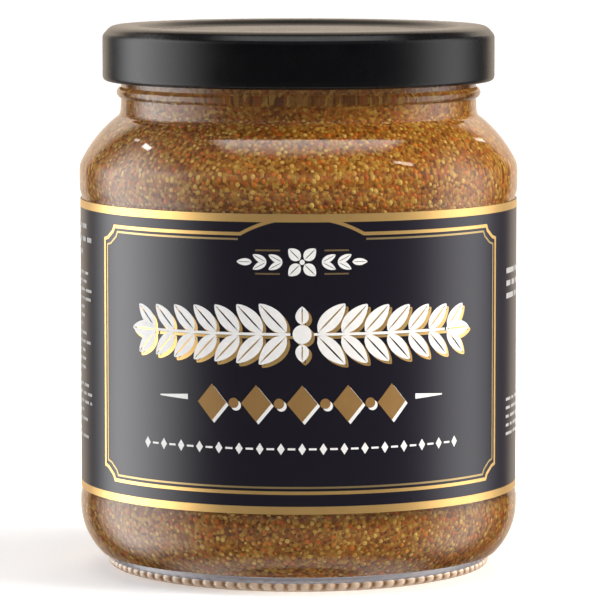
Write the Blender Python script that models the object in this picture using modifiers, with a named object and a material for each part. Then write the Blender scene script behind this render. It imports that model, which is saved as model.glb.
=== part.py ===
# A jar of wholegrain mustard: clear glass with a wrap-round label, shut by a twist-off metal lid.
# The jar stands upright on the ground plane, and the Z axis is its own.

import math

import bmesh
import bpy

MM = 0.001

# Driving dimensions in millimetres, with every height measured from the table.
JAR_RADIUS = 37.0
PANEL_RADIUS = 36.4            # the band that the label lies in, a little recessed
WALL = 2.2
NECK_RADIUS = 30.05
NECK_BORE = 27.5
RIM_HEIGHT = 90.8
LID_RADIUS = 33.05
LID_TOP = 91.8
LID_BOTTOM = 82.2
LID_WALL = 0.5
LABEL_BOTTOM = 13.9
LABEL_TOP = 63.0
LABEL_THICKNESS = 0.18
LABEL_SEAM = 4.0               # degrees left bare between the label's ends, at the back
LABEL_SEGMENTS = 84
FILL_HEIGHT = 85.4
FLOOR_HEIGHT = 4.0
TOUCH_GAP = 0.3                # kept between pieces that touch on the real jar
SEGMENTS = 60

# The shoulder is one wide arc that turns into the upright wall through a tighter one.
SHOULDER_HEIGHT = 67.6
SHOULDER_CORNER = 3.6
SHOULDER_CROWN = 22.0
SHOULDER_TURN = 27.0           # degrees at which the two arcs meet
SHOULDER_END = 51.0            # degrees at which the crown runs into the neck
NECK_EASE = 1.9                # how much higher than wide the hollow between them is

HEEL_HEIGHT = 11.0
HEEL_RADIUS = 11.4
HEEL_END = -62.0
BEARING_INNER = 26.6           # the flat ring that the jar stands on
BEARING_OUTER = 29.2
BASE_RISE = 2.0
INNER_HEEL = 9.0

BEAD_HEIGHT = 80.6
BEAD_ROUND = 1.0
BEAD_RADIUS = 30.72
RECESS_SLOPE = 1.0             # height over which the glass steps out beyond the label

THREAD_STARTS = 4
THREAD_SPAN = 76.0             # degrees that one ridge covers
THREAD_LOW = 85.3
THREAD_HIGH = 88.4
THREAD_THICKNESS = 1.6
THREAD_CREST = 31.3
LUG_LEAD = 5.0                 # degrees from the low end of a ridge to its lug
LUG_SPAN = 15.0
LUG_THICKNESS = 1.5
LUG_HEIGHT = 83.4
LUG_REACH = 30.85

LID_CORNER = 2.0
LID_CURL = 0.85                # radius of the rolled edge at the foot of the skirt
LID_CURL_HEIGHT = 1.9
LID_RING = 27.4                # radius at which the raised ring steps down to the panel
LID_PANEL_DROP = 1.0
LID_BUTTON = 11.0
LID_BUTTON_DROP = 0.35
LID_STEP = 0.8                 # width over which the top steps up or down


def arc(centre, radius, start, end, steps):
    """Points on a circle in the section, with angles in degrees up from the outward direction."""
    points = []
    for i in range(steps + 1):
        angle = math.radians(start + (end - start) * i / steps)
        points.append((centre[0] + radius * math.cos(angle), centre[1] + radius * math.sin(angle)))
    return points


def clear_scene():
    for old in list(bpy.data.objects):
        bpy.data.objects.remove(old, do_unlink=True)


def new_collection(name):
    collection = bpy.data.collections.new(name)
    bpy.context.scene.collection.children.link(collection)
    return collection


def link(name, data, collection):
    obj = bpy.data.objects.new(name, data)
    collection.objects.link(obj)
    return obj


def give_material(obj, name, colour, roughness, metallic=0.0, transmission=0.0):
    material = bpy.data.materials.new(name)
    material.use_nodes = True
    shader = material.node_tree.nodes["Principled BSDF"]
    shader.inputs["Base Color"].default_value = (*colour, 1.0)
    shader.inputs["Roughness"].default_value = roughness
    shader.inputs["Metallic"].default_value = metallic
    shader.inputs["Transmission Weight"].default_value = transmission
    obj.data.materials.clear()
    obj.data.materials.append(material)


def turned(name, section, collection, sweep=360.0, steps=SEGMENTS):
    """A section of (radius, height) points that runs down its outer side, turned round the axis."""
    mesh = bpy.data.meshes.new(name)
    points = [(radius * MM, 0.0, height * MM) for radius, height in section]
    edges = [(i, i + 1) for i in range(len(points) - 1)]
    mesh.from_pydata(points, edges, [])
    obj = link(name, mesh, collection)
    screw = obj.modifiers.new("turn", "SCREW")
    screw.angle = math.radians(sweep)
    screw.steps = steps
    screw.render_steps = steps
    screw.use_merge_vertices = True
    screw.merge_threshold = 1e-6
    screw.use_smooth_shade = True
    return obj


def as_mesh(obj, collection):
    """Replaces the object by a plain mesh of what its modifiers make, with its points welded."""
    bpy.context.view_layer.update()
    graph = bpy.context.evaluated_depsgraph_get()
    mesh = bpy.data.meshes.new_from_object(obj.evaluated_get(graph))
    welded = bmesh.new()
    welded.from_mesh(mesh)
    bmesh.ops.remove_doubles(welded, verts=welded.verts, dist=1e-6)
    welded.to_mesh(mesh)
    welded.free()
    name = obj.name
    place = obj.matrix_world.copy()
    bpy.data.objects.remove(obj, do_unlink=True)
    plain = link(name, mesh, collection)
    plain.matrix_world = place
    return plain


def fuse(base, additions, collection):
    """Joins every solid in the additions collection to the base, then removes that collection."""
    base = as_mesh(base, collection)
    union = base.modifiers.new("join", "BOOLEAN")
    union.operation = "UNION"
    union.operand_type = "COLLECTION"
    union.collection = additions
    joined = as_mesh(base, collection)
    for addition in list(additions.objects):
        bpy.data.objects.remove(addition, do_unlink=True)
    bpy.data.collections.remove(additions)
    joined.data.shade_smooth()
    joined.data.set_sharp_from_angle(angle=math.radians(35))
    return joined


def shoulder(inset, neck, steps):
    """The section from the upright neck down over the shoulder, moved inwards by inset."""
    corner_centre = (JAR_RADIUS - SHOULDER_CORNER, SHOULDER_HEIGHT)
    shift = SHOULDER_CROWN - SHOULDER_CORNER
    turn = math.radians(SHOULDER_TURN)
    crown_centre = (corner_centre[0] - shift * math.cos(turn), corner_centre[1] - shift * math.sin(turn))
    crown = arc(crown_centre, SHOULDER_CROWN - inset, SHOULDER_END, SHOULDER_TURN, steps)
    corner = arc(corner_centre, SHOULDER_CORNER - inset, SHOULDER_TURN, 0.0, steps - 1)
    gap = crown[0][0] - neck
    hollow = [(neck, crown[0][1] + NECK_EASE * gap), (neck + 0.2 * gap, crown[0][1] + 0.8 * gap)]
    return hollow + crown + corner[1:]


def glass_inside():
    """The section of the glass from the middle of its floor up the inside to the rim."""
    inset = JAR_RADIUS - PANEL_RADIUS + WALL
    wall_radius = JAR_RADIUS - inset
    heel = arc((wall_radius - INNER_HEEL, FLOOR_HEIGHT + INNER_HEEL), INNER_HEEL, -90.0, 0.0, 5)
    return [(0.0, FLOOR_HEIGHT)] + heel + shoulder(inset, NECK_BORE, 3)[::-1]


def glass_outside():
    """The section of the glass from the rim down the outside to the middle of the base."""
    rim_round = (NECK_RADIUS - NECK_BORE) / 2
    rim = arc((NECK_BORE + rim_round, RIM_HEIGHT - rim_round), rim_round, 180.0, 0.0, 5)
    bead = arc((BEAD_RADIUS - BEAD_ROUND, BEAD_HEIGHT), BEAD_ROUND, 72.0, -72.0, 4)
    panel_top = LABEL_TOP + TOUCH_GAP
    panel_bottom = LABEL_BOTTOM - TOUCH_GAP
    panel = [(JAR_RADIUS, panel_top + RECESS_SLOPE), (PANEL_RADIUS, panel_top),
             (PANEL_RADIUS, panel_bottom), (JAR_RADIUS, panel_bottom - RECESS_SLOPE)]
    heel = arc((JAR_RADIUS - HEEL_RADIUS, HEEL_HEIGHT), HEEL_RADIUS, 0.0, HEEL_END, 6)
    base = [(BEARING_OUTER, 0.0), (BEARING_INNER, 0.0), (BEARING_INNER - BASE_RISE, BASE_RISE / 2),
            (0.0, BASE_RISE)]
    return rim + bead + shoulder(0.0, NECK_RADIUS, 4) + panel + heel + base


def round_bar(name, points, thickness, collection):
    """A bar with a round section through (angle, radius, height) points, made a mesh."""
    curve = bpy.data.curves.new(name, "CURVE")
    curve.dimensions = "3D"
    curve.bevel_depth = thickness / 2 * MM
    curve.bevel_resolution = 2
    curve.use_fill_caps = True
    line = curve.splines.new("POLY")
    line.points.add(len(points) - 1)
    for place, (angle, radius, height) in zip(line.points, points):
        turn = math.radians(angle)
        place.co = (radius * MM * math.cos(turn), radius * MM * math.sin(turn), height * MM, 1.0)
    as_mesh(link(name, curve, collection), collection)


def thread_ridge(index, collection):
    """One slanting ridge on the neck, sunk at both ends, which a lug of the lid slides under."""
    steps = 9
    points = []
    for i in range(steps + 1):
        share = i / steps
        angle = 360.0 * index / THREAD_STARTS + THREAD_SPAN * share
        sinking = THREAD_THICKNESS / 2 * (2.0 * share - 1.0) ** 6
        height = THREAD_LOW + (THREAD_HIGH - THREAD_LOW) * share ** 1.5
        points.append((angle, THREAD_CREST - THREAD_THICKNESS / 2 - sinking, height))
    round_bar(f"thread_{index}", points, THREAD_THICKNESS, collection)


def build_jar(collection):
    jar = turned("jar_glass", glass_inside() + glass_outside(), collection)
    threads = new_collection("threads")
    for index in range(THREAD_STARTS):
        thread_ridge(index, threads)
    jar = fuse(jar, threads, collection)
    give_material(jar, "clear_glass", (0.93, 0.95, 0.94), 0.04, transmission=1.0)


def build_mustard(collection):
    """The mustard fills the jar to just below the rim, the touching gap inside the glass."""
    inset = JAR_RADIUS - PANEL_RADIUS + WALL + TOUCH_GAP
    wall_radius = JAR_RADIUS - inset
    bore = NECK_BORE - TOUCH_GAP
    heel_round = INNER_HEEL - TOUCH_GAP
    top = [(0.0, FILL_HEIGHT), (bore, FILL_HEIGHT)]
    heel = arc((wall_radius - heel_round, FLOOR_HEIGHT + INNER_HEEL), heel_round, 0.0, -90.0, 5)
    floor = [(0.0, FLOOR_HEIGHT + TOUCH_GAP)]
    mustard = turned("mustard", top + shoulder(inset, bore, 3) + heel + floor, collection)
    give_material(mustard, "wholegrain_mustard", (0.42, 0.21, 0.04), 0.55)


def lid_section():
    """The section of the lid from the middle of its top, down the skirt and back up inside."""
    panel = LID_TOP - LID_PANEL_DROP
    button = panel - LID_BUTTON_DROP
    corner_centre = (LID_RADIUS - LID_CORNER, LID_TOP - LID_CORNER)
    curl_centre = (LID_RADIUS - LID_CURL, LID_BOTTOM + LID_CURL)
    over = [(0.0, button), (LID_BUTTON - LID_STEP, button), (LID_BUTTON, panel),
            (LID_RING - LID_STEP, panel), (LID_RING, LID_TOP)]
    under = [(LID_RING, LID_TOP - LID_WALL), (LID_RING - LID_STEP, panel - LID_WALL),
             (LID_BUTTON, panel - LID_WALL), (LID_BUTTON - LID_STEP, button - LID_WALL),
             (0.0, button - LID_WALL)]
    corner = arc(corner_centre, LID_CORNER, 90.0, 0.0, 4)
    curl = arc(curl_centre, LID_CURL, 0.0, -215.0, 6)
    skirt = [(LID_RADIUS - LID_WALL, LID_BOTTOM + LID_CURL_HEIGHT)]
    corner_inside = arc(corner_centre, LID_CORNER - LID_WALL, 0.0, 90.0, 3)
    return over + corner + curl + skirt + corner_inside + under


def lid_lug(index, collection):
    """One of the tabs at the foot of the skirt, which reach in below the ridges of the glass."""
    steps = 4
    points = []
    for i in range(steps + 1):
        share = i / steps
        angle = 360.0 * index / THREAD_STARTS + LUG_LEAD + LUG_SPAN * share
        sinking = LUG_THICKNESS / 3 * (2.0 * share - 1.0) ** 2
        points.append((angle, LUG_REACH + LUG_THICKNESS / 2 + sinking, LUG_HEIGHT))
    round_bar(f"lug_{index}", points, LUG_THICKNESS, collection)


def build_lid(collection):
    lid = turned("lid", lid_section(), collection)
    lugs = new_collection("lugs")
    for index in range(THREAD_STARTS):
        lid_lug(index, lugs)
    lid = fuse(lid, lugs, collection)
    give_material(lid, "black_lacquered_tinplate", (0.012, 0.012, 0.014), 0.28)


def build_label(collection):
    """A strip of paper round the recessed band, with a narrow bare seam at the back."""
    radius = PANEL_RADIUS + TOUCH_GAP + LABEL_THICKNESS
    edge = [(radius, LABEL_TOP), (radius, LABEL_BOTTOM)]
    label = turned("label", edge, collection, 360.0 - LABEL_SEAM, LABEL_SEGMENTS)
    label.rotation_euler = (0.0, 0.0, math.radians(90.0 + LABEL_SEAM / 2))
    paper = label.modifiers.new("paper", "SOLIDIFY")
    paper.thickness = LABEL_THICKNESS * MM
    paper.use_even_offset = True
    give_material(label, "black_label_paper", (0.01, 0.01, 0.013), 0.3)


def build():
    clear_scene()
    collection = new_collection("mustard_jar")
    build_jar(collection)
    build_mustard(collection)
    build_lid(collection)
    build_label(collection)


build()
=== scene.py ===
import math
import random

import bmesh
import bpy
from mathutils import Matrix, Vector


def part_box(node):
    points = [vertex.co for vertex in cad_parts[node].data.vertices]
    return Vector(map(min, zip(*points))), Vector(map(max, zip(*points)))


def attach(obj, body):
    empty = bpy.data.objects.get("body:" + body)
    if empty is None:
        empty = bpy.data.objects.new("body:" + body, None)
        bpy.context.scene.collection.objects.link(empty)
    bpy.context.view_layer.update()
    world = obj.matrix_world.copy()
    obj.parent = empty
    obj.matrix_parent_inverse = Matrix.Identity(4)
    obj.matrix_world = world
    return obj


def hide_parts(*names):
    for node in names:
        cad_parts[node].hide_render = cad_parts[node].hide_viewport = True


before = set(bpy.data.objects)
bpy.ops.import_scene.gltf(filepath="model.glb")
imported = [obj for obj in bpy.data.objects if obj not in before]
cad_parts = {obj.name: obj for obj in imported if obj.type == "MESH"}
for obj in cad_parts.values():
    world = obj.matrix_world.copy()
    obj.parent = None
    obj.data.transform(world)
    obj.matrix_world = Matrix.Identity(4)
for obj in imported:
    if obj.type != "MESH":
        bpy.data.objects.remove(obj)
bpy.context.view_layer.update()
mm = 0.001


def boxInMm(node):
    low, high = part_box(node)
    return low / mm, high / mm


glassHigh = boxInMm("jar_glass")[1]
lidLow, lidHigh = boxInMm("lid")
labelLow, labelHigh = boxInMm("label")
fillHigh = boxInMm("mustard")[1]


# Shader helpers

class Wire:
    # an output socket that can stand in plain arithmetic
    def __init__(self, paint, socket):
        self.paint = paint
        self.socket = socket

    def compute(self, operation, *others):
        return self.paint.node("Math", {"operation": operation}, dict(enumerate((self, *others))))

    def flipped(self, operation, other):
        return self.paint.node("Math", {"operation": operation}, {0: other, 1: self})

    def __add__(self, other):
        return self.compute("ADD", other)

    __radd__ = __add__

    def __sub__(self, other):
        return self.compute("SUBTRACT", other)

    def __rsub__(self, other):
        return self.flipped("SUBTRACT", other)

    def __mul__(self, other):
        return self.compute("MULTIPLY", other)

    __rmul__ = __mul__

    def __truediv__(self, other):
        return self.compute("DIVIDE", other)

    def __rtruediv__(self, other):
        return self.flipped("DIVIDE", other)

    def __gt__(self, other):
        return self.compute("GREATER_THAN", other)

    def __lt__(self, other):
        return self.compute("LESS_THAN", other)


class Paint:
    # the nodes of one material or of the world
    def __init__(self, owner):
        owner.use_nodes = True
        self.owner = owner
        self.tree = owner.node_tree
        self.tree.nodes.clear()

    def node(self, kind, settings=None, values=None, output=0):
        made = self.tree.nodes.new("ShaderNode" + kind)
        for name, setting in (settings or {}).items():
            if name == "stops":
                self.fillRamp(made.color_ramp, setting)
            else:
                setattr(made, name, setting)
        for place, value in (values or {}).items():
            if isinstance(value, Wire):
                self.tree.links.new(value.socket, made.inputs[place])
            else:
                made.inputs[place].default_value = value
        return Wire(self, made.outputs[output])

    def fillRamp(self, ramp, stops):
        while len(ramp.elements) < len(stops):
            ramp.elements.new(0.5)
        for element, (place, colour) in zip(ramp.elements, stops):
            element.position = place
            element.color = (*colour, 1.0)

    def objectPoint(self):
        return self.node("TexCoord", output="Object")

    def noise(self, size, detail, roughness=0.55):
        return self.node("TexNoise", None, {
            "Vector": self.objectPoint(), "Scale": 1.0 / (size * mm), "Detail": detail,
            "Roughness": roughness}, "Fac")

    def cells(self, size, output="Color"):
        return self.node("TexVoronoi", {"feature": "F1"}, {
            "Vector": self.objectPoint(), "Scale": 1.0 / (size * mm), "Randomness": 1.0}, output)

    def ramp(self, factor, stops, interpolation="LINEAR"):
        made = self.node("ValToRGB", {"stops": stops}, {"Fac": factor})
        made.socket.node.color_ramp.interpolation = interpolation
        return made

    def mixColour(self, factor, first, second, blend="MIX"):
        return self.node("Mix", {"data_type": "RGBA", "blend_type": blend},
                         {0: factor, 6: asColour(first), 7: asColour(second)}, 2)

    def fade(self, value, start, end, low, high):
        return self.node("MapRange", {"interpolation_type": "SMOOTHSTEP"}, {
            "Value": value, "From Min": start, "From Max": end, "To Min": low, "To Max": high})

    def window(self, value, start, full, fading, end):
        # rises from 0 to 1 between the first two places and falls again between the last two
        return self.fade(value, start, full, 0, 1) * self.fade(value, fading, end, 1, 0)

    def vectors(self, operation, *vectors, output="Vector"):
        return self.node("VectorMath", {"operation": operation}, dict(enumerate(vectors)), output)

    def tint(self, colour, strength):
        return self.node("VectorMath", {"operation": "SCALE"}, {0: colour, "Scale": strength})

    def bump(self, height, strength, distance):
        return self.node("Bump", None, {
            "Height": height, "Strength": strength, "Distance": distance * mm}, "Normal")

    def attribute(self, name):
        return self.node("Attribute", {"attribute_name": name}, output="Fac")

    def end(self, shader, kind):
        out = self.tree.nodes.new("ShaderNodeOutput" + kind)
        self.tree.links.new(shader.socket, out.inputs["Surface"])
        return self.owner

    def finish(self, values, shade=None):
        # glass has a shade that the lamps' light passes through, so that it throws no black shadow
        shader = self.node("BsdfPrincipled", None, values, "BSDF")
        if shade:
            clear = self.node("BsdfTransparent", None, {"Color": (*shade, 1)})
            shadowRay = self.node("LightPath", output="Is Shadow Ray")
            shader = self.node("MixShader", None, {0: shadowRay, 1: shader, 2: clear})
        return self.end(shader, "Material")


def asColour(value):
    return value if isinstance(value, Wire) else (*value, 1.0)


def newPaint(name):
    return Paint(bpy.data.materials.new(name))


# Mesh helpers, all of which take millimetres

def arcPoints(centre, radius, start, end, steps):
    points = []
    for step in range(steps + 1):
        angle = math.radians(start + (end - start) * step / steps)
        points.append((centre[0] + radius * math.cos(angle), centre[1] + radius * math.sin(angle)))
    return points


def spinSection(section, segments):
    bm = bmesh.new()
    points = [bm.verts.new((radius * mm, 0, height * mm)) for radius, height in section]
    edges = [bm.edges.new(pair) for pair in zip(points, points[1:])]
    bmesh.ops.spin(bm, geom=points + edges, cent=(0, 0, 0), axis=(0, 0, 1), angle=2 * math.pi,
                   steps=segments, use_merge=True, use_duplicate=False)
    bmesh.ops.remove_doubles(bm, verts=bm.verts, dist=1e-7)
    bmesh.ops.recalc_face_normals(bm, faces=bm.faces)
    return bm


def newObject(name, data):
    made = bpy.data.objects.new(name, data)
    bpy.context.scene.collection.objects.link(made)
    return made


def newMesh(name, bm, material):
    mesh = bpy.data.meshes.new(name)
    bm.to_mesh(mesh)
    bm.free()
    mesh.materials.append(material)
    return mesh


def addPiece(name, bm, material, replaced=(), sharpAngle=40):
    mesh = newMesh(name, bm, material)
    mesh.shade_smooth()
    mesh.set_sharp_from_angle(angle=math.radians(sharpAngle))
    piece = newObject(name, mesh)
    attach(piece, "root")
    if replaced:
        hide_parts(*replaced)
    return piece


# Camera

view = {
    "distance": 752.7,  # from the jar's axis
    "height": 120.6,
    "aside": 0.25,  # the jar stands a little left of the picture's middle
    "pitch": 5.72,  # degrees below level
    "focalLength": 267.6,
    "sensor": 36.0,
    "clip": (0.01, 20.0),  # in metres
}


def makeCamera():
    data = bpy.data.cameras.new("photoCamera")
    data.lens = view["focalLength"]
    data.sensor_width = view["sensor"]
    data.clip_start, data.clip_end = view["clip"]
    camera = newObject("photoCamera", data)
    camera.location = (view["aside"] * mm, -view["distance"] * mm, view["height"] * mm)
    camera.rotation_euler = (math.radians(90 - view["pitch"]), 0, 0)
    bpy.context.scene.camera = camera


makeCamera()
print("camera placed")


# Clear glass jar

jar = {
    "radius": glassHigh.x,
    "panelRadius": labelHigh.x - 0.18,  # the glass just behind the label's paper
    "inset": 2.8,  # from the jar's outer radius to the inner wall
    "neckRadius": 30.05,
    "neckBore": 27.5,
    "rim": glassHigh.z,
    "finishFoot": 82.4,  # the upright neck ends here, and is built in rows a step apart
    "finishStep": 0.3,
    "floor": 4.0,
    "floorRise": ((0, 0.3), (12, 0.2)),  # radius, and height over the floor
    "innerHeel": 9.0,
    "heelHeight": 11.0,
    "heelRadius": 11.4,
    "heelEnd": -44,  # degrees at which the heel meets the foot
    "bearing": (26.6, 29.2),  # the flat ring that the jar stands on
    "footRadius": 32.3,
    "footHeight": 1.85,  # the beads end here, and the smooth step above them begins
    "stepHeight": 2.95,
    "baseRise": 2.0,
    "shoulderHeight": 67.6,
    "shoulderCorner": 3.6,
    "shoulderCrown": 22.0,
    "shoulderTurn": 27.0,  # degrees at which the shoulder's two arcs meet
    "shoulderEnd": 51.0,
    "ease": {"steps": 5, "height": 1.9, "curve": 1.4},  # the hollow between shoulder and neck
    "beadHeight": 80.6,
    "beadRound": 1.0,
    "beadRadius": 30.72,
    "beadTurn": 75,  # degrees up and down from the bead's crown
    "segments": 480,  # five to each bead of the foot
}
knurl = {"dots": 96, "rise": 0.46, "height": 1.35, "round": 0.85, "turn": (35, -70), "slack": 0.03}
thread = {
    "starts": 4,
    "span": 76.0,  # degrees that one ridge covers
    "low": 85.3,
    "high": 88.4,
    "climb": 1.5,  # more than 1 starts level and steepens
    "halfThickness": 0.8,
    "rise": 1.1,
    "blunt": 6,  # how abruptly a ridge ends
    "foot": 84.0,  # no ridge reaches below this height
    "slack": 0.01,
}


def shoulderSection(inset, neck, steps):
    # from the upright neck down over the shoulder to the upright wall
    turn = math.radians(jar["shoulderTurn"])
    corner = (jar["radius"] - jar["shoulderCorner"], jar["shoulderHeight"])
    shift = jar["shoulderCrown"] - jar["shoulderCorner"]
    crown = (corner[0] - shift * math.cos(turn), corner[1] - shift * math.sin(turn))
    upper = arcPoints(crown, jar["shoulderCrown"] - inset, jar["shoulderEnd"], jar["shoulderTurn"], steps)
    lower = arcPoints(corner, jar["shoulderCorner"] - inset, jar["shoulderTurn"], 0, steps // 2)
    gap = upper[0][0] - neck
    ease = jar["ease"]
    hollow = []
    for step in range(ease["steps"]):
        share = step / ease["steps"]
        rise = ease["height"] * gap * (1 - share) ** ease["curve"]
        hollow.append((neck + gap * share ** 2, upper[0][1] + rise))
    return hollow + upper + lower[1:]


def panelEdge(end, way):
    # from the full radius into the shallow band behind the label: way is 1 at its top, -1 at its foot
    outer = jar["radius"]
    inner = jar["panelRadius"]
    steps = [(outer, 1.3), (outer - 0.06, 0.8), (inner + 0.05, 0.2), (inner, -0.1)]
    return [(radius, end + away * way) for radius, away in steps]


def footSection():
    # the smooth step below the heel, the round that carries the beads, and the hollow base
    ring = jar["footRadius"]
    rise = jar["baseRise"]
    inner, outer = jar["bearing"]
    step = [(ring + 0.35, 2.98), (ring + 0.08, 2.86), (ring, 2.65), (ring, 2.25)]
    beads = arcPoints((ring - knurl["round"], knurl["height"]), knurl["round"], *knurl["turn"], 12)
    base = [(outer + 0.5, 0.06), (outer, 0), (inner, 0), (inner - 0.8, 0.35), (inner - 2.4, rise * 0.7),
            (inner - 5, rise), (0, rise)]
    return step + beads + base


def glassSection():
    # from the middle of the floor up the inside, over the rim, and down the outside to the base
    neck = jar["neckRadius"]
    bore = jar["neckBore"]
    innerHeel = (jar["radius"] - jar["inset"] - jar["innerHeel"], jar["floor"] + jar["innerHeel"])
    inside = [(radius, jar["floor"] + rise) for radius, rise in jar["floorRise"]]
    inside += arcPoints(innerHeel, jar["innerHeel"], -90, 0, 14)
    inside += shoulderSection(jar["inset"], bore, 12)[::-1]
    rimRound = (neck - bore) / 2
    rim = arcPoints((bore + rimRound, jar["rim"] - rimRound), rimRound, 180, 0, 12)
    finishTop = jar["rim"] - rimRound - 0.4
    finish = [(neck, height) for height in upright(finishTop, jar["finishFoot"], jar["finishStep"])]
    bead = arcPoints((jar["beadRadius"] - jar["beadRound"], jar["beadHeight"]), jar["beadRound"],
                     jar["beadTurn"], -jar["beadTurn"], 10)
    top = labelHigh.z + 0.3
    bottom = labelLow.z - 0.3
    panel = [(jar["panelRadius"], height) for height in upright(top - 8, bottom + 8, 8)]
    panel = panelEdge(top, 1) + panel + panelEdge(bottom, -1)[::-1]
    heel = arcPoints((jar["radius"] - jar["heelRadius"], jar["heelHeight"]), jar["heelRadius"],
                     0, jar["heelEnd"], 26)
    return inside + rim + finish + bead + shoulderSection(0, neck, 16) + panel + heel + footSection()


def upright(high, low, step):
    count = max(1, round((high - low) / step))
    return [high + (low - high) * i / count for i in range(count + 1)]


def raiseKnurling(bm):
    # a ring of small beads round the foot: the hollows between them are drawn in, and marked so that the
    # finish darkens them with painted shade
    centre = (jar["footRadius"] - knurl["round"], knurl["height"])
    hollow = bm.verts.layers.float.new("hollow")
    for point in bm.verts:
        radius = math.hypot(point.co.x, point.co.y) / mm
        across, along = radius - centre[0], point.co.z / mm - centre[1]
        if abs(math.hypot(across, along) - knurl["round"]) > knurl["slack"]:
            continue
        turn = math.atan2(point.co.y, point.co.x)
        point[hollow] = 1 - abs(math.sin(turn * knurl["dots"] / 2))
        reach = 1 - point[hollow] * knurl["rise"] / knurl["round"]
        newRadius = centre[0] + across * reach
        point.co = (newRadius * mm * math.cos(turn), newRadius * mm * math.sin(turn),
                    (centre[1] + along * reach) * mm)


def raiseThreads(bm):
    # four slanting ridges round the neck, which the lid's lugs slide under
    for point in bm.verts:
        radius = math.hypot(point.co.x, point.co.y) / mm
        if abs(radius - jar["neckRadius"]) > thread["slack"] or point.co.z / mm < thread["foot"]:
            continue
        turn = math.degrees(math.atan2(point.co.y, point.co.x)) % (360 / thread["starts"])
        share = turn / thread["span"]
        if share > 1:
            continue
        ridge = thread["low"] + (thread["high"] - thread["low"]) * share ** thread["climb"]
        away = abs(point.co.z / mm - ridge) / thread["halfThickness"]
        if away < 1:
            ends = 1 - (2 * share - 1) ** thread["blunt"]
            rise = thread["rise"] * math.sqrt(1 - away ** 2) * ends
            point.co.x *= 1 + rise / radius
            point.co.y *= 1 + rise / radius


def glassFinish():
    paint = newPaint("clearGlass")
    ripple = paint.noise(14, 2)
    return paint.finish({
        "Base Color": paint.mixColour(ripple, (0.97, 0.985, 0.975), (0.985, 0.985, 0.98)),
        "Roughness": paint.noise(9, 2) * 0.02 + 0.005,
        "Transmission Weight": 1.0,
        "IOR": 1.5,
        "Normal": paint.bump(ripple, 0.12, 0.25),
    }, (0.96, 0.97, 0.965))


def stippledPaintedLightFinish():
    # the beaded foot looks milky beside the clear wall: its pale warm colour is painted light, standing in
    # for the floor's light and the mustard seen through the beads
    paint = newPaint("stippledGlassPaintedLight")
    stipple = paint.noise(0.5, 3)
    # painted light: the pale warm colour of the beads' crowns
    crown = paint.mixColour(stipple, (0.86, 0.64, 0.46), (0.99, 0.82, 0.67))
    # painted shade: the hollows between the beads are darkened towards a deep brown
    hollow = paint.fade(paint.attribute("hollow"), 0.1, 0.85, 0, 1)
    return paint.finish({
        "Base Color": paint.mixColour(hollow, crown, (0.36, 0.19, 0.08)),
        "Roughness": 0.12 + stipple * 0.15,
        "Transmission Weight": 0.45,
        "IOR": 1.5,
        "Normal": paint.bump(stipple, 0.2, 0.05),
    }, (0.90, 0.90, 0.89))


def stepPaintedReflectionFinish():
    # painted reflection: the thick smooth step above the beads is given a pale blue-grey colour that stands
    # in for the light it gathers from all round
    paint = newPaint("stepGlassPaintedReflection")
    cloud = paint.noise(4, 2)
    return paint.finish({
        # painted reflection: the blue-grey colour of the step
        "Base Color": paint.mixColour(cloud, (0.36, 0.38, 0.45), (0.52, 0.53, 0.60)),
        "Roughness": 0.05 + cloud * 0.05,
        "Transmission Weight": 0.55,
        "IOR": 1.5,
        "Normal": paint.bump(cloud, 0.1, 0.1),
    }, (0.90, 0.90, 0.90))


def buildGlass():
    bm = spinSection(glassSection(), jar["segments"])
    raiseThreads(bm)
    raiseKnurling(bm)
    for face in bm.faces:
        middle = face.calc_center_median() / mm
        if math.hypot(middle.x, middle.y) <= jar["bearing"][1]:
            continue
        if middle.z < jar["footHeight"]:
            face.material_index = 1
        elif middle.z < jar["stepHeight"]:
            face.material_index = 2
    piece = addPiece("clearGlassJar", bm, glassFinish(), ["jar_glass"])
    piece.data.materials.append(stippledPaintedLightFinish())
    piece.data.materials.append(stepPaintedReflectionFinish())


buildGlass()
print("glass jar built")


# Mustard, a paste that touches the glass and the seeds that press against it

paste = {
    "overlap": 0.12,  # how far the paste reaches into the glass
    "segments": 180,
    "top": fillHigh.z,
    "surface": ((0, 0.4), (0.5, 0.2), (0.93, 0), (1, 0.5)),  # share of the bore, depth below the top
}
seeds = {
    "tries": 100000,
    "crowding": 0.74,  # how near two seeds may lie, as a share of their radii
    "showing": (0.09, 0.24),  # how far a seed stands out of the paste towards the glass
    "most": 2450,  # of one kind
    "cell": 1.6,  # side of the cubes that neighbours are looked for in
    "handful": 40,  # seeds in one small mesh, which Blender builds much faster
    "fullTurn": 6.283,
    "innermost": 14,  # no seed lies nearer the axis, under the floor's paste
    "underLid": 2.5,  # how far seeds reach up behind the lid and in behind the label
    "underLabel": 1.5,
    "seamHalf": 4,  # degrees each side of the label's seam
    "seed": 41,  # of the random draws
    "kinds": {  # share counts up from the first kind; tones run from dark to light
        "strawSeeds": {
            "share": 0.25, "radius": (0.37, 0.58), "flat": (0.82, 1.0),
            "tones": [(0.0, (0.52, 0.27, 0.038)), (0.5, (0.64, 0.39, 0.075)), (1.0, (0.75, 0.53, 0.145))]},
        "amberSeeds": {
            "share": 0.50, "radius": (0.37, 0.58), "flat": (0.80, 1.0),
            "tones": [(0.0, (0.38, 0.18, 0.027)), (0.5, (0.52, 0.26, 0.039)), (1.0, (0.64, 0.36, 0.072))]},
        "tanSeeds": {
            "share": 0.75, "radius": (0.37, 0.57), "flat": (0.80, 1.0),
            "tones": [(0.0, (0.49, 0.095, 0.011)), (0.5, (0.63, 0.175, 0.018)), (1.0, (0.67, 0.31, 0.040))]},
        "brownSeeds": {
            "share": 1.0, "radius": (0.34, 0.54), "flat": (0.85, 1.0),
            "tones": [(0.0, (0.14, 0.042, 0.006)), (0.5, (0.29, 0.082, 0.010)), (1.0, (0.43, 0.155, 0.020))]},
    },
}


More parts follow.
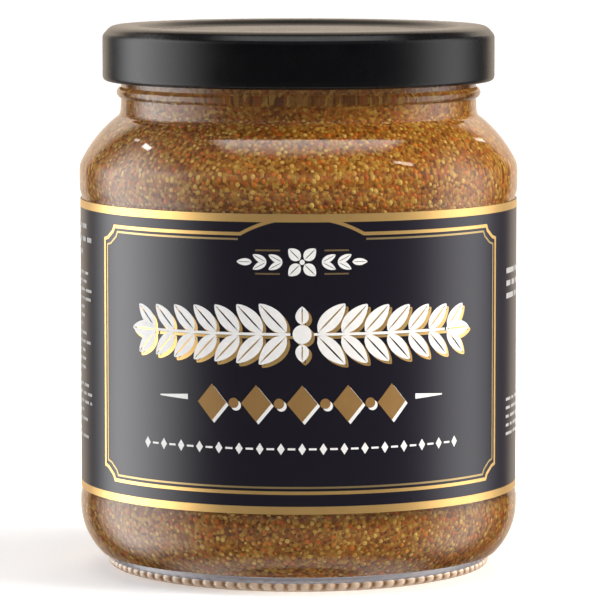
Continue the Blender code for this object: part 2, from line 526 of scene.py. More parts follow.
def pasteSection():
    # follows the inside of the glass, a little way into it
    outset = paste["overlap"]
    inset = jar["inset"] - outset
    bore = jar["neckBore"] + outset
    heelRound = jar["innerHeel"] + outset
    heelCentre = (jar["radius"] - inset - heelRound, jar["floor"] + jar["innerHeel"])
    top = [(bore * share, paste["top"] - depth) for share, depth in paste["surface"]]
    heel = arcPoints(heelCentre, heelRound, 0, -90, 16)
    floor = [(radius, jar["floor"] + rise - outset) for radius, rise in reversed(jar["floorRise"])]
    return top + shoulderSection(inset, bore, 12) + heel + floor


def pasteFinish():
    paint = newPaint("mustardPaste")
    grainSize = 0.55
    broad = paint.noise(6, 3)
    fine = paint.noise(0.5, 4, 0.7)
    grainTone = paint.node("SeparateColor", None, {"Color": paint.cells(grainSize)})
    body = paint.ramp(fine * 0.65 + broad * 0.35, [
        (0.34, (0.12, 0.037, 0.0045)), (0.48, (0.24, 0.085, 0.010)), (0.60, (0.37, 0.150, 0.017)),
        (0.72, (0.49, 0.25, 0.036))])
    specks = paint.ramp(grainTone, [
        (0.0, (0.10, 0.031, 0.004)), (0.2, (0.36, 0.09, 0.010)), (0.42, (0.25, 0.105, 0.013)),
        (0.62, (0.39, 0.21, 0.030)), (0.85, (0.54, 0.35, 0.065))], "CONSTANT")
    height = paint.cells(grainSize, "Distance") * -0.7 + fine
    return paint.finish({
        "Base Color": paint.mixColour(0.55, body, specks),
        "Roughness": 0.42 + fine * 0.2,
        "Specular IOR Level": 0.3,
        "Normal": paint.bump(height, 0.7, 0.25),
    })


def seedFinish(name, tones):
    paint = newPaint(name)
    mottle = paint.noise(0.35, 3, 0.6)
    base = paint.ramp(paint.attribute("tone") * 0.82 + mottle * 0.18, tones)
    shade = paint.mixColour(mottle, (0.72, 0.66, 0.6), (1, 1, 1))
    return paint.finish({
        "Base Color": paint.mixColour(1.0, base, shade, "MULTIPLY"),
        "Roughness": 0.34 + mottle * 0.16,
        "Specular IOR Level": 0.35,
        "Normal": paint.bump(mottle, 0.25, 0.08),
    })


def walkSection(section):
    # stretches of the section with their length, so that a place along it can be picked at random
    stretches = []
    run = 0
    for (r1, z1), (r2, z2) in zip(section, section[1:]):
        length = math.hypot(r2 - r1, z2 - z1)
        if length > 1e-6:
            stretches.append((run, length, (r1, z1), (r2, z2)))
            run += length
    return stretches, run


def placeOn(stretches, along):
    for start, length, (r1, z1), (r2, z2) in stretches:
        if along <= start + length:
            share = (along - start) / length
            outward = ((z1 - z2) / length, (r2 - r1) / length)
            return r1 + (r2 - r1) * share, z1 + (z2 - z1) * share, outward


def seenThroughGlass(angle, radius, height):
    # above and below the label, and at the bare strip of its seam
    if radius < seeds["innermost"] or height > lidLow.z + seeds["underLid"]:
        return False
    clearOfLabel = height > labelHigh.z - seeds["underLabel"] or height < labelLow.z + seeds["underLabel"]
    return clearOfLabel or abs(angle - 180) < seeds["seamHalf"]


def scatterSeeds():
    dice = random.Random(seeds["seed"])
    stretches, whole = walkSection(pasteSection()[len(paste["surface"]):])
    beside = (-1, 0, 1)
    cells = {}
    found = []
    for _ in range(seeds["tries"]):
        angle = dice.uniform(0, 360)
        along = dice.uniform(0, whole)
        radius, height, outward = placeOn(stretches, along)
        kindDraw, sizeDraw, toneDraw, sinkDraw = (dice.random() for _ in range(4))
        if dice.random() > radius / jar["radius"] or not seenThroughGlass(angle, radius, height):
            continue
        kind = next(name for name, k in seeds["kinds"].items() if kindDraw <= k["share"])
        low, high = seeds["kinds"][kind]["radius"]
        size = low + (high - low) * sizeDraw
        turn = math.radians(angle - 90)  # angle 0 faces the camera
        spot = Vector((radius * math.cos(turn), radius * math.sin(turn), height))
        key = tuple(int(c // seeds["cell"]) for c in spot)
        near = [other for dx in beside for dy in beside for dz in beside
                for other in cells.get((key[0] + dx, key[1] + dy, key[2] + dz), [])]
        if any((spot - place).length < seeds["crowding"] * (size + other) for place, other in near):
            continue
        cells.setdefault(key, []).append((spot, size))
        normal = Vector((outward[0] * math.cos(turn), outward[0] * math.sin(turn), outward[1]))
        found.append((kind, spot, normal, size, toneDraw, sinkDraw))
    return found


def buildSeeds(name, chosen, material):
    dice = random.Random(len(chosen))
    flatLow, flatHigh = seeds["kinds"][name]["flat"]
    showLow, showHigh = seeds["showing"]
    whole = bmesh.new()
    whole.verts.layers.float.new("tone")
    handful = bpy.data.meshes.new("handful")
    for first in range(0, len(chosen), seeds["handful"]):
        bm = bmesh.new()
        tone = bm.verts.layers.float.new("tone")
        for _, spot, normal, size, toneDraw, sinkDraw in chosen[first:first + seeds["handful"]]:
            show = showLow + (showHigh - showLow) * sinkDraw
            flat = dice.uniform(flatLow, flatHigh)
            axis = Vector((dice.gauss(0, 1), dice.gauss(0, 1), dice.gauss(0, 1)))
            place = Matrix.Translation((spot + normal * (show - size)) * mm)
            turned = Matrix.Rotation(dice.uniform(0, seeds["fullTurn"]), 4, axis)
            shape = Matrix.Diagonal((size * mm, size * mm * flat, size * mm * (0.5 + flat / 2), 1))
            made = bmesh.ops.create_icosphere(bm, subdivisions=2, radius=1, matrix=place @ turned @ shape)
            for point in made["verts"]:
                point[tone] = toneDraw
        bm.to_mesh(handful)
        bm.free()
        whole.from_mesh(handful)
    bpy.data.meshes.remove(handful)
    addPiece(name, whole, material, sharpAngle=80)


def buildMustard():
    bm = spinSection(pasteSection(), paste["segments"])
    addPiece("mustardPaste", bm, pasteFinish(), ["mustard"])
    found = scatterSeeds()
    for name, kind in seeds["kinds"].items():
        chosen = [seed for seed in found if seed[0] == name][:seeds["most"]]
        buildSeeds(name, chosen, seedFinish(name + "Skin", kind["tones"]))
        print(name, len(chosen))


buildMustard()
print("mustard filled")


# Twist-off lid of black lacquered tinplate

lid = {
    "radius": lidHigh.x,
    "top": lidHigh.z,
    "bottom": lidLow.z + 0.28,
    "wall": 0.5,
    "corner": 2.1,  # the top edge turns down in two bends with a slope between them
    "bend": 47,  # degrees at which the slope starts
    "slope": (0.5, 0.58),
    "lowerBend": 1.2,
    "skirtStep": 1.2,
    "curl": 0.85,  # the rolled edge at the foot of the skirt
    "curlTurn": 215,
    "curlHeight": 2.0,
    "ring": 27.4,  # inside this radius the top steps down to the panel
    "ringFlat": 1.2,
    "drop": 1.0,
    "button": 11.0,
    "buttonDrop": 0.2,
    "step": 1.9,
    "segments": 240,
}
lug = {
    "count": 4,
    "lead": 5.0,  # degrees from the start of a ridge of the neck
    "span": 15.0,
    "reach": 30.85,
    "top": 84.3,
    "blunt": 0.4,  # below 1 a lug is broad, with short ends
}


def lidEdge():
    bend = lid["bend"]
    rest = 90 - bend
    across, down = lid["slope"]
    lower = lid["lowerBend"]
    reach = lower * (1 - math.cos(math.radians(rest))) + across
    reach += lid["corner"] * math.sin(math.radians(bend))
    upperCentre = (lid["radius"] - reach, lid["top"] - lid["corner"])
    upperBend = arcPoints(upperCentre, lid["corner"], 90, rest, 10)
    startX, startZ = upperBend[-1]
    slope = [(startX + across * i / 4, startZ - down * i / 4) for i in range(1, 4)]
    lowerCentre = (lid["radius"] - lower, startZ - down - lower * math.sin(math.radians(rest)))
    return upperBend + slope + arcPoints(lowerCentre, lower, rest, 0, 8)


def lidSection():
    # from the middle of the top outwards, round the rolled edge, and back under the sheet
    wall = lid["wall"]
    panel = lid["top"] - lid["drop"]
    button = panel - lid["buttonDrop"]
    over = [(0, button)] + stepDown(lid["button"], button, panel)
    over += stepDown(lid["ring"], panel, lid["top"]) + [(lid["ring"] + lid["ringFlat"], lid["top"])]
    under = [(radius, height - wall) for radius, height in reversed(over)]
    edge = lidEdge()
    curlCentre = (lid["radius"] - lid["curl"], lid["bottom"] + lid["curl"])
    skirtTop = edge[-1][1] - 1.0
    skirtFoot = curlCentre[1] + 0.8
    skirt = [(lid["radius"], height) for height in upright(skirtTop, skirtFoot, lid["skirtStep"])]
    curl = arcPoints(curlCentre, lid["curl"], 0, -lid["curlTurn"], 18)
    curl.append((lid["radius"] - wall, lid["bottom"] + lid["curlHeight"]))
    innerCentre = (lid["radius"] - lid["corner"], lid["top"] - lid["corner"])
    return over + edge + skirt + curl + arcPoints(innerCentre, lid["corner"] - wall, 0, 90, 8) + under


def stepDown(radius, low, high):
    # a rounded step from the lower level, inside the radius, up to the higher level
    points = []
    for i in range(7):
        share = i / 6
        ease = share * share * (3 - 2 * share)
        points.append((radius - lid["step"] * (1 - share), low + (high - low) * ease))
    return points


def pressLugs(bm):
    # tabs of the rolled edge pressed inwards below the glass ridges
    outer = lid["radius"] - lid["curl"]
    inner = lid["radius"] - 2 * lid["curl"]
    for point in bm.verts:
        radius = math.hypot(point.co.x, point.co.y) / mm
        turn = (math.degrees(math.atan2(point.co.y, point.co.x)) - lug["lead"]) % (360 / lug["count"])
        if turn > lug["span"] or point.co.z / mm > lug["top"] or radius > outer:
            continue
        share = math.sin(math.pi * turn / lug["span"]) ** lug["blunt"]
        depth = (outer - radius) / lid["curl"]
        pulled = radius + (lug["reach"] - inner) * share * max(0, depth)
        point.co.x *= pulled / radius
        point.co.y *= pulled / radius


def lacquerFinish():
    paint = newPaint("blackLacquer")
    haze = paint.noise(5, 3)
    return paint.finish({
        "Base Color": paint.mixColour(haze, (0.0012, 0.0012, 0.0020), (0.0024, 0.0023, 0.0034)),
        "Roughness": 0.22 + haze * 0.10,
        "IOR": 1.5,
        "Specular IOR Level": 0.32,
        "Normal": paint.bump(paint.noise(0.9, 2), 0.06, 0.05),
    })


def buildLid():
    bm = spinSection(lidSection(), lid["segments"])
    pressLugs(bm)
    addPiece("twistOffLid", bm, lacquerFinish(), ["lid"])


buildLid()
print("lid built")


# Label, drawn flat and then wrapped round the jar. Flat places are (along, height) in millimetres.

label = {
    "radius": labelHigh.x,
    "thickness": 0.15,
    "low": labelLow.z,
    "high": labelHigh.z - 0.2,
    "seam": 4.0,  # degrees left bare at the back
    "wrapStep": 1.3,  # width of the flat strips that bend round the jar
    "topBand": 1.35,
    "footBand": 1.3,
    "bandInset": 0.02,
}
halfLabel = label["radius"] * math.radians(180 - label["seam"] / 2)

frameRule = {
    "halfWidth": 39.5,
    "top": 59.8,
    "bottom": 17.15,
    "line": 0.56,
    "notch": (3.2, 2.3),
    "archHalf": 10.2,
    "archTop": 62.5,
    "innerGap": 0.42,
    "innerLine": 0.32,
    "innerBreak": 10.5,
}
ink = {
    "thickness": 0.022,
    "low": 0.03,  # how far the inks stand above the paper's face
    "frame": 0.036,
    "high": 0.055,
    "aside": 0.6,  # the front is printed a little to the right
    "shadow": (0.5, -0.5),
    "smallShadow": (0.4, -0.4),
}


def flatStrip(bm, place, pieces=1):
    # a flat square, a millimetre wide, cut across into pieces
    return bmesh.ops.create_grid(bm, x_segments=pieces, y_segments=1, size=0.5,
                                 matrix=Matrix.Translation((*place, 0)))["verts"]


def stretch(bm, points, place, across, up):
    bmesh.ops.scale(bm, vec=(across, up, 1), space=Matrix.Translation((-place[0], -place[1], 0)),
                    verts=points)
    return points


def drawBar(bm, left, right, low, high):
    middle = ((left + right) / 2, (low + high) / 2)
    return stretch(bm, flatStrip(bm, middle), middle, right - left, high - low)


def drawDisc(bm, place, radius, segments=24):
    return bmesh.ops.create_circle(bm, cap_ends=True, segments=segments, radius=radius,
                                   matrix=Matrix.Translation((*place, 0)))["verts"]


blade = {"pieces": 10, "belly": 0.85, "fullness": 0.75, "ribEnds": 4}


def drawBlade(bm, base, turn, length, width, side, slit):
    # one half of a leaf, from its stalk outwards, on one side of its middle rib
    points = flatStrip(bm, (0, 0), blade["pieces"])
    for point in points:
        along = point.co.x + 0.5
        across = point.co.y + 0.5
        swell = math.sin(math.pi * along ** blade["belly"]) ** blade["fullness"]
        edge = slit + (width / 2 - slit) * swell
        rib = slit * min(1, blade["ribEnds"] * along, blade["ribEnds"] * (1 - along))
        point.co.x = length * along
        point.co.y = side * (rib + (max(edge, rib) - rib) * across)
    bmesh.ops.rotate(bm, cent=(0, 0, 0), matrix=Matrix.Rotation(turn, 3, "Z"), verts=points)
    bmesh.ops.translate(bm, vec=(*base, 0), verts=points)


def drawLeaf(bm, base, turn, length, width, slit):
    for side in (1, -1):
        drawBlade(bm, base, turn, length, width, side, slit)


def drawLozenge(bm, place, halfWidth, halfHeight):
    stretch(bm, drawDisc(bm, place, 1, 4), place, halfWidth, halfHeight)


def drawOutline(bm, corners, line):
    # a closed line of even width inside a closed outline
    face = bm.faces.new([bm.verts.new((*corner, 0)) for corner in corners])
    face.normal_update()
    bmesh.ops.inset_individual(bm, faces=[face], thickness=line, use_even_offset=True)
    bmesh.ops.delete(bm, geom=[face], context="FACES_ONLY")


def thicken(bm, thickness):
    # gives the flat shapes a thickness downwards, so that each is a closed solid
    made = bmesh.ops.extrude_face_region(bm, geom=bm.faces[:])
    lower = [g for g in made["geom"] if isinstance(g, bmesh.types.BMVert)]
    bmesh.ops.translate(bm, vec=(0, 0, -thickness), verts=lower)


def wrapRound(bm, layer):
    # cuts the flat drawing into narrow strips and bends it round the jar
    low = min(point.co.x for point in bm.verts)
    high = max(point.co.x for point in bm.verts)
    first = math.floor(low / label["wrapStep"])
    for step in range(first, math.ceil(high / label["wrapStep"]) + 1):
        bmesh.ops.bisect_plane(bm, geom=bm.verts[:] + bm.edges[:] + bm.faces[:], dist=1e-5,
                               plane_co=(step * label["wrapStep"], 0, 0), plane_no=(1, 0, 0))
    for point in bm.verts:
        angle = point.co.x / label["radius"]
        radius = (label["radius"] + layer + point.co.z) * mm
        point.co = (radius * math.sin(angle), -radius * math.cos(angle), point.co.y * mm)
    bmesh.ops.recalc_face_normals(bm, faces=bm.faces)


def paperFinish():
    paint = newPaint("blackSatinPaper")
    fibre = paint.noise(0.35, 4, 0.65)
    return paint.finish({
        "Base Color": paint.mixColour(fibre, (0.0044, 0.0028, 0.0094), (0.0066, 0.0044, 0.0126)),
        "Roughness": 0.24 + fibre * 0.05 + paint.noise(12, 2) * 0.05,
        "IOR": 1.5,
        "Specular IOR Level": 0.57,
        "Normal": paint.bump(fibre, 0.05, 0.02),
    })


def goldFinish(name, dark, light, metal):
    paint = newPaint(name)
    grain = paint.noise(0.25, 3, 0.6)
    return paint.finish({
        "Base Color": paint.mixColour(paint.noise(3, 4, 0.6), dark, light),
        "Metallic": metal,
        "Roughness": 0.30 + grain * 0.14,
        "Normal": paint.bump(grain, 0.08, 0.02),
    })


def inkFinish(name, bright):
    paint = newPaint(name)
    wear = paint.noise(1.2, 4, 0.6)
    return paint.finish({
        "Base Color": paint.mixColour(wear, (bright * 0.9,) * 3, (bright * 1.1,) * 3),
        "Roughness": 0.38 + wear * 0.1,
    })


def notchedCorners(halfWidth, bottom, top, notch):
    # a rectangle whose corners are cut in a shallow hollow, from the lower left, anticlockwise
    across, up = notch
    hollow = [(0.0, 1.0), (0.38, 0.86), (0.62, 0.62), (0.86, 0.38), (1.0, 0.0)]
    lowerLeft = [(-halfWidth + across * u, bottom + up * v) for u, v in hollow]
    lowerRight = [(-x, y) for x, y in reversed(lowerLeft)]
    upperRight = [(-x, bottom + top - y) for x, y in lowerLeft]
    upperLeft = [(x, bottom + top - y) for x, y in reversed(lowerLeft)]
    return lowerLeft, lowerRight, upperRight, upperLeft


def outerFrame(bm):
    lowerLeft, lowerRight, upperRight, upperLeft = notchedCorners(
        frameRule["halfWidth"], frameRule["bottom"], frameRule["top"], frameRule["notch"])
    rise = frameRule["archTop"] - frameRule["top"]
    half = frameRule["archHalf"]
    radius = (half ** 2 + rise ** 2) / (2 * rise)
    spread = math.degrees(math.asin(half / radius))
    arch = arcPoints((0, frameRule["archTop"] - radius), radius, 90 - spread, 90 + spread, 20)
    drawOutline(bm, lowerLeft + lowerRight + upperRight + arch + upperLeft, frameRule["line"])


def innerFrame(bm):
    gap = frameRule["line"] + frameRule["innerGap"]
    top = frameRule["top"] - gap
    lowerLeft, lowerRight, upperRight, upperLeft = notchedCorners(
        frameRule["halfWidth"] - gap, frameRule["bottom"] + gap, top, frameRule["notch"])
    stop = frameRule["innerBreak"]
    corners = lowerLeft + lowerRight + upperRight + [(stop, top), (-stop, top)] + upperLeft
    drawOutline(bm, corners, frameRule["innerLine"])
    gone = [f for f in bm.faces if f.calc_center_median().y > top - 1 and abs(f.calc_center_median().x) < 0.1]
    bmesh.ops.delete(bm, geom=gone, context="FACES")


garland = {
    "height": 43.3,
    "half": 31.0,
    "pairs": 6,
    "first": 2.6,
    "leaf": (6.3, 3.0),
    "lean": 46.0,
    "slit": 0.13,
    "apart": 0.35,  # how far each leaf of a pair starts from the stalk's middle
    "shrink": 0.035,  # of each pair beside the one before
    "lastPair": 0.8,  # places of the last pair, the stalk's end and the tip, in leaf lengths
    "stalkEnd": 0.9,
    "tip": (0.85, 0.9),
    "stalk": (1.9, 0.22),  # where it starts, and half its thickness
    "seed": 1.55,
    "bud": (1.6, 2.9, 2.2, 0.1),  # how far out, length, width and slit
}


def drawGarland(bm):
    # a sprig of paired leaves on a level stalk, mirrored about a seed in the middle
    middle = garland["height"]
    length, width = garland["leaf"]
    lean = math.radians(garland["lean"])
    slit = garland["slit"]
    pitch = (garland["half"] - length * garland["lastPair"] - garland["first"]) / garland["pairs"]
    stalkStart, stalkHalf = garland["stalk"]
    stalkEnd = garland["half"] - length * garland["stalkEnd"]
    drawBar(bm, -stalkEnd, -stalkStart, middle - stalkHalf, middle + stalkHalf)
    drawBar(bm, stalkStart, stalkEnd, middle - stalkHalf, middle + stalkHalf)
    tipLength, tipWidth = length * garland["tip"][0], width * garland["tip"][1]
    for side in (-1, 1):
        for step in range(garland["pairs"] + 1):
            along = side * (garland["first"] + step * pitch)
            size = 1 - garland["shrink"] * step
            for lift in (-1, 1):
                turn = lift * lean if side > 0 else math.pi - lift * lean
                base = (along, middle + garland["apart"] * lift)
                drawLeaf(bm, base, turn, length * size, width * size, slit)
        turn = 0 if side > 0 else math.pi
        drawLeaf(bm, (side * (garland["half"] - tipLength), middle), turn, tipLength, tipWidth, slit)
    drawDisc(bm, (0, middle), garland["seed"])
    away, *bud = garland["bud"]
    for lift in (-1, 1):
        drawLeaf(bm, (0, middle + away * lift), lift * math.pi / 2, *bud)


divider = {
    "height": 32.0,
    "half": 15.0,
    "lozenges": 5,
    "lozenge": (2.5, 3.0),
    "bead": 0.85,
    "dash": (19.4, 24.8),
    "dashHeight": (0.2, 1.1),
    "dashTaper": 0.25,
}


def drawDivider(bm):
    # lozenges with small beads between them
    count = divider["lozenges"]
    pitch = 2 * divider["half"] / (count - 1)
    for step in range(count):
        along = -divider["half"] + step * pitch
        drawLozenge(bm, (along, divider["height"]), *divider["lozenge"])
        if step < count - 1:
            drawDisc(bm, (along + pitch / 2, divider["height"]), divider["bead"], 16)


def drawDashes(bm):
    # a dash on each side of the divider that tapers outwards
    near, far = divider["dash"]
    low, high = (divider["height"] + away for away in divider["dashHeight"])
    middle = (low + high) / 2
    for side in (-1, 1):
        for point in drawBar(bm, near, far, low, high):
            if point.co.x > (near + far) / 2:
                point.co.y = middle + (point.co.y - middle) * divider["dashTaper"]
            point.co.x *= side


beadRow = {
    "height": 24.6,
    "half": 27.6,
    "beads": 17,
    "lozenge": (0.62, 0.95),
    "bar": (0.32, 0.68),  # ends of the bar between two beads, as shares of the gap
    "barHalf": 0.16,
}


def drawBeadRow(bm):
    # small lozenges with short bars between them
    pitch = 2 * beadRow["half"] / (beadRow["beads"] - 1)
    low, high = beadRow["height"] - beadRow["barHalf"], beadRow["height"] + beadRow["barHalf"]
    near, far = beadRow["bar"]
    for step in range(beadRow["beads"]):
        along = -beadRow["half"] + step * pitch
        drawLozenge(bm, (along, beadRow["height"]), *beadRow["lozenge"])
        if step < beadRow["beads"] - 1:
            drawBar(bm, along + pitch * near, along + pitch * far, low, high)


blossom = {
    "height": 55.0,
    "petal": (2.5, 1.9, 0.07),  # length, width and slit
    "petalStart": 0.55,
    "seed": 0.42,
    "leaf": (2.5, 1.15, 0.05),
    "leaves": ((3.2, 28), (5.8, 28), (8.2, 0)),  # place and lean
    "rules": ((3.6, 7.6, 56.9), (3.6, 7.6, 53.1)),
    "ruleHalf": 0.14,
}


def drawBlossom(bm):
    # a small four-petalled flower between two sprigs
    for quarter in range(4):
        turn = math.radians(45 + 90 * quarter)
        start = blossom["petalStart"]
        base = (start * math.cos(turn), blossom["height"] + start * math.sin(turn))
        drawLeaf(bm, base, turn, *blossom["petal"])
    drawDisc(bm, (0, blossom["height"]), blossom["seed"], 16)
    for side in (-1, 1):
        level = 0 if side > 0 else math.pi
        for place, lean in blossom["leaves"]:
            for lift in (-1, 1) if lean else (1,):
                turn = level + lift * math.radians(lean)
                drawLeaf(bm, (side * place, blossom["height"]), turn, *blossom["leaf"])


def drawBlossomRules(bm):
    for near, far, height in blossom["rules"]:
        low, high = height - blossom["ruleHalf"], height + blossom["ruleHalf"]
        drawBar(bm, near, far, low, high)
        drawBar(bm, -far, -near, low, high)


barRows = {
    "blocks": [  # left end, right end, top, rows, row pitch and bar height
        (-72.0, -44.5, 59.0, 3, 2.2, 0.8),
        (-72.0, -44.5, 51.0, 20, 1.45, 0.5),
        (45.0, 72.0, 51.8, 3, 2.1, 0.9),
        (45.0, 72.0, 30.0, 5, 1.45, 0.5),
        (-109.5, -80.5, 57.0, 24, 1.6, 0.5),
    ],
    "ragged": 0.35,  # how much shorter than its block a row may be
    "bar": (1.6, 5.2),
    "seed": 7,
}


def drawBarRows(bm):
    # rows of short bars that stand in for small print on the sides and the back
    dice = random.Random(barRows["seed"])
    for left, right, top, rows, pitch, tall in barRows["blocks"]:
        for row in range(rows):
            height = top - row * pitch
            end = right - dice.uniform(0, barRows["ragged"]) * (right - left)
            along = left
            while along < end:
                bar = dice.uniform(*barRows["bar"]) * (0.6 + tall * 0.5)
                drawBar(bm, along, min(along + bar, right), height - tall, height)
                along += bar + 0.55 + 0.35 * tall


table = {"left": 80.5, "right": 109.5, "low": 20.0, "high": 57.0, "rows": 9, "line": 0.3}


def drawTable(bm):
    # a ruled table on the back
    left, right, low, high = table["left"], table["right"], table["low"], table["high"]
    line = table["line"]
    inset = line + 0.01  # keeps the rules just clear of the outline
    drawOutline(bm, [(left, low), (right, low), (right, high), (left, high)], line)
    for row in range(1, table["rows"]):
        height = low + (high - low) * row / table["rows"]
        drawBar(bm, left + inset, right - inset, height - line / 3, height + line / 3)


def addInk(name, draws, material, layer, shift=(0, 0)):
    bm = bmesh.new()
    for draw in draws:
        draw(bm)
    bmesh.ops.translate(bm, vec=(*shift, 0), verts=bm.verts)
    thicken(bm, ink["thickness"])
    wrapRound(bm, layer)
    addPiece(name, bm, material, sharpAngle=30)


def drawBands(bm):
    inset = label["bandInset"]
    drawBar(bm, -halfLabel, halfLabel, label["high"] - label["topBand"], label["high"] - inset)
    drawBar(bm, -halfLabel, halfLabel, label["low"] + inset, label["low"] + label["footBand"])


def buildLabel():
    bm = bmesh.new()
    drawBar(bm, -halfLabel, halfLabel, label["low"], label["high"])
    thicken(bm, label["thickness"])
    wrapRound(bm, 0)
    addPiece("labelPaper", bm, paperFinish(), ["label"], sharpAngle=30)
    foil = goldFinish("goldFoil", (0.84, 0.52, 0.18), (0.96, 0.62, 0.24), 0.82)
    dullFoil = goldFinish("dullGoldFoil", (0.16, 0.11, 0.05), (0.22, 0.16, 0.08), 0.4)
    paleFoil = goldFinish("paleGoldFoil", (0.46, 0.33, 0.15), (0.58, 0.42, 0.20), 0.8)
    gold = goldFinish("goldInk", (0.30, 0.165, 0.052), (0.37, 0.210, 0.070), 0.35)
    white = inkFinish("whiteInk", 0.74)
    grey = inkFinish("greyInk", 0.36)
    low, high = ink["low"], ink["high"]
    middle = (ink["aside"], 0)
    shadow, smallShadow = [(ink["aside"] + ink[name][0], ink[name][1]) for name in ("shadow", "smallShadow")]
    addInk("goldBands", [drawBands], foil, low)
    addInk("goldOuterFrame", [outerFrame], foil, ink["frame"], middle)
    addInk("goldInnerFrame", [innerFrame], paleFoil, low, middle)
    addInk("garlandShade", [drawGarland], foil, low, shadow)
    addInk("whiteGarland", [drawGarland], white, high, middle)
    addInk("dividerShade", [drawDivider], white, low, smallShadow)
    addInk("goldDivider", [drawDivider], gold, high, middle)
    addInk("whiteOrnaments", [drawDashes, drawBeadRow, drawBlossom], white, low, middle)
    addInk("blossomRules", [drawBlossomRules], dullFoil, low, middle)
    addInk("smallRows", [drawBarRows, drawTable], grey, low)


buildLabel()
print("label wrapped")


# Studio

studio = {
    "floorSize": 6.0,  # in metres, as the lamp's measures are
    "floorLight": 0.24,
    "sidePanels": 4.4,  # brightness of the wide panels left and right
    "leftPanel": [  # how far round from the front, and the grey there
        (0, 0.005), (0.255, 0.005), (0.29, 0.06), (0.325, 0.19), (0.36, 0.35), (0.43, 0.70), (0.51, 0.96),
        (0.60, 1.0), (0.645, 0.75), (0.70, 0.26), (0.75, 0.03), (0.80, 0.01)],
    "rightPanel": [
        (0, 0.005), (0.25, 0.005), (0.33, 0.030), (0.39, 0.115), (0.43, 0.27), (0.47, 0.43), (0.51, 0.50),
        (0.55, 0.54), (0.595, 0.48), (0.65, 0.21), (0.70, 0.06), (0.75, 0.015), (0.80, 0.01)],
    "back": 0.92,
    "backTint": (1.0, 0.84, 0.68),
    "overhead": 4.9,
    "fronts": [  # how far round it reaches, heights, brightness
        ((0.22, 0.45), (0.22, 0.36, 0.66, 0.8), 0.33),
        ((0.24, 0.42), (-0.6, -0.3, -0.11, -0.08), 0.20),  # the floor, as the label's front reflects it
    ],
    "floorGlow": 1.2,
    "white": (1, 1, 1),
    "glowTint": (1, 0.98, 0.95),
    "glintTint": (1, 0.97, 0.93),
    "glints": [  # narrow lamps: the directions of both ends, half width, brightness
        ((-0.650, 0.452, 0.606), (-0.702, 0.306, 0.646), 0.030, 13.0),
        ((-0.596, 0.588, 0.550), (-0.624, 0.515, 0.586), 0.018, 5.0),
        ((0.590, -0.225, 0.777), (0.716, -0.118, 0.688), 0.034, 9.0),
        ((0.560, 0.685, 0.462), (0.510, 0.785, 0.350), 0.020, 4.0),
    ],
    "rightLamp": {
        "turn": 74.0, "lift": 30.0, "distance": 1.2, "size": 0.55, "watts": 15.0,
        "tint": (1.0, 0.93, 0.82)},
}


def floorFinish():
    paint = newPaint("paleFloor")
    return paint.finish({
        "Base Color": paint.mixColour(paint.noise(30, 2), (0.875, 0.895, 0.93), (0.895, 0.915, 0.95)),
        "Roughness": 0.9,
        "Specular IOR Level": 0.0,
        "Emission Color": (1, 1, 1, 1),
        "Emission Strength": studio["floorLight"],
    })


def makeFloor():
    bm = bmesh.new()
    bmesh.ops.create_grid(bm, x_segments=2, y_segments=2, size=studio["floorSize"] / 2)
    floor = newObject("studioFloor", newMesh("studioFloor", bm, floorFinish()))
    floor.visible_glossy = False


def makeRightLamp():
    # warms the mustard from the right, and leaves no reflection of its own in the glass
    lamp = studio["rightLamp"]
    data = bpy.data.lights.new("rightLamp", "AREA")
    data.size = lamp["size"]
    data.energy = lamp["watts"]
    data.color = lamp["tint"]
    light = newObject("rightLamp", data)
    turn, lift = math.radians(lamp["turn"]), math.radians(lamp["lift"])
    towards = Vector((math.sin(turn) * math.cos(lift), -math.cos(turn) * math.cos(lift), math.sin(lift)))
    light.location = towards * lamp["distance"]
    light.rotation_euler = towards.to_track_quat("Z", "Y").to_euler()
    light.visible_glossy = False
    light.visible_transmission = False


def greyStops(stops):
    return [(place, (grey, grey, grey)) for place, grey in stops]


# The world is painted by direction: x, y and z run from -1 to 1, and turned from 0 in front to 1 behind

def sidePanels(paint, x, z, turned):
    left = paint.ramp(turned, greyStops(studio["leftPanel"]))
    right = paint.ramp(turned, greyStops(studio["rightPanel"]))
    ends = paint.fade(z, 0.42, 0.74, 1, 0.02) * paint.fade(z, -0.76, -0.45, 0.08, 1)
    return paint.tint(paint.mixColour(x > 0, left, right), ends * studio["sidePanels"])


def backWall(paint, z, turned):
    # a warm wall, brighter upwards and dark straight overhead
    wall = paint.fade(turned, 0.79, 0.845, 0, 1)
    wall = wall * paint.fade(z, -0.45, -0.08, 0.3, 1) * paint.fade(z, 0.15, 0.4, 1, 1.7)
    wall = wall * paint.fade(z, 0.90, 0.97, 1, 0.1)
    return paint.tint(studio["backTint"], wall * studio["back"])


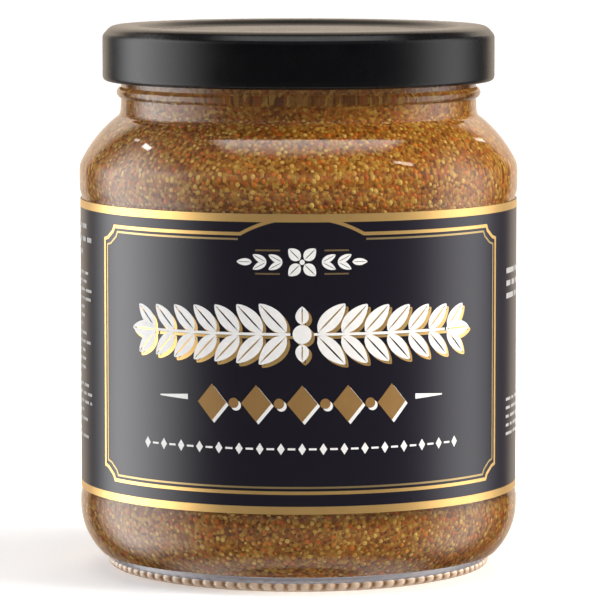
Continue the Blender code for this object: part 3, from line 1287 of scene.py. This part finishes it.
def overheadPanel(paint, x, y, z):
    height = z.compute("MAXIMUM", 0.02)
    across = x / height
    lean = y * -1 / height + across * across * 0.76  # the far edge bends back at its ends
    panel = paint.window(lean, 0.085, 0.125, 0.12, 0.52)
    panel = panel * paint.fade((across - 0.06).compute("ABSOLUTE"), 0.48, 0.62, 1, 0) * (z > 0)
    return paint.tint(studio["white"], panel * studio["overhead"])


def frontLight(paint, z, turned, reach, heights, strength):
    light = paint.fade(turned, *reach, 1, 0) * paint.window(z, *heights)
    return paint.tint(studio["white"], light * strength)


def floorGlow(paint, z):
    glow = paint.window(z, -0.975, -0.93, -0.90, -0.72)
    return paint.tint(studio["glowTint"], glow * studio["floorGlow"])


def glint(paint, direction, start, end, halfWidth, strength):
    # one narrow lamp, measured along and across the line between its ends
    middle = (Vector(start) + Vector(end)) / 2
    half = (Vector(end) - Vector(start)) / 2
    heading = half.normalized()
    away = paint.vectors("SUBTRACT", direction, middle)
    along = paint.vectors("DOT_PRODUCT", away, heading, output="Value")
    crossed = paint.vectors("CROSS_PRODUCT", away, heading)
    aside = paint.vectors("LENGTH", crossed, output="Value")
    lamp = paint.fade(aside, halfWidth * 0.3, halfWidth, strength, 0)
    lamp = lamp * paint.fade(along.compute("ABSOLUTE"), half.length * 0.5, half.length, 1, 0)
    return paint.tint(studio["glintTint"], lamp)


def makeWorld():
    world = bpy.data.worlds.new("studio")
    bpy.context.scene.world = world
    paint = Paint(world)
    direction = paint.node("TexCoord", output="Generated")
    x, y, z = [paint.node("SeparateXYZ", None, {"Vector": direction}, axis) for axis in "XYZ"]
    turned = x.compute("ABSOLUTE").compute("ARCTAN2", y * -1) / math.pi
    lights = [sidePanels(paint, x, z, turned), backWall(paint, z, turned), overheadPanel(paint, x, y, z)]
    lights += [frontLight(paint, z, turned, *front) for front in studio["fronts"]]
    lights.append(floorGlow(paint, z))
    lights += [glint(paint, direction, *lamp) for lamp in studio["glints"]]
    lit = lights[0]
    for light in lights[1:]:
        lit = paint.vectors("ADD", lit, light)
    seen = paint.node("LightPath", output="Is Camera Ray")  # the camera itself sees plain white
    background = paint.node("Background", None, {
        "Color": paint.mixColour(seen, lit, studio["white"]), "Strength": 1.0})
    paint.end(background, "World")


makeFloor()
makeWorld()
makeRightLamp()
bpy.context.scene.view_settings.view_transform = "Standard"
print("studio lit")
